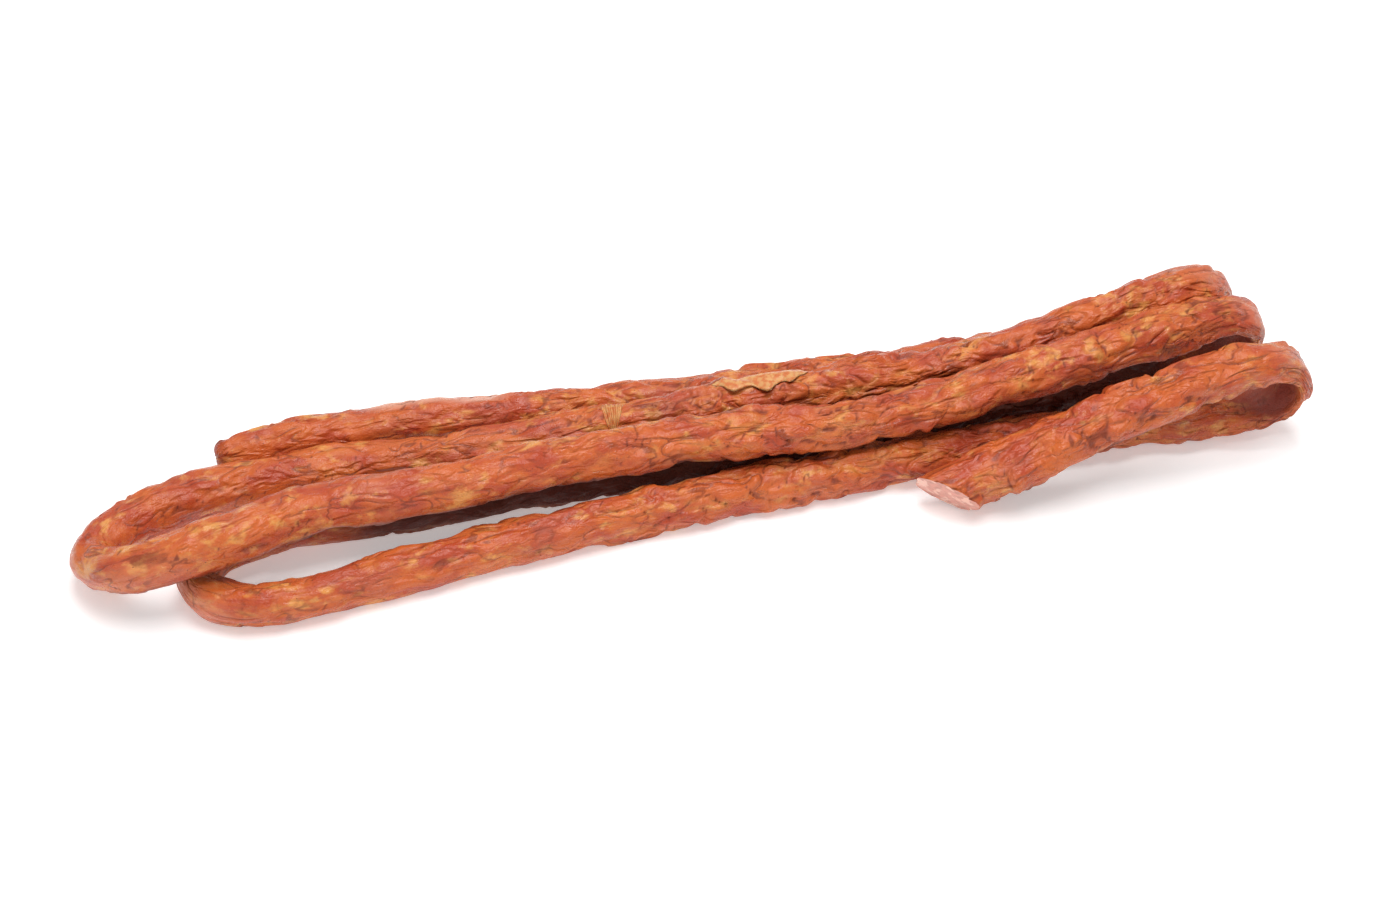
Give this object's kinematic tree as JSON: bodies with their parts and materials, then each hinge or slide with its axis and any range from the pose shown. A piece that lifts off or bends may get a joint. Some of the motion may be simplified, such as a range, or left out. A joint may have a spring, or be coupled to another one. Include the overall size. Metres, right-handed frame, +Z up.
{
  "type": "cured sausage",
  "caption": "Long thin smoked and dried sausage folded into a lying bundle, with stick loops at one end and one end cut on a slant.",
  "frame": {"origin": "centre of the bundle's footprint box, on the surface that it lies on", "axes": "+X along the bundle towards the stick loops, +Y towards the back arm, +Z up"},
  "size_m": [0.446, 0.1034, 0.0475],
  "materials": {
    "sausage_skin": "wrinkled smoked casing, satin, with darker creases and yellow spots of fat"
  },
  "bodies": {
    "root": {"sausage": "sausage_skin"}
  },
  "joints": []
}
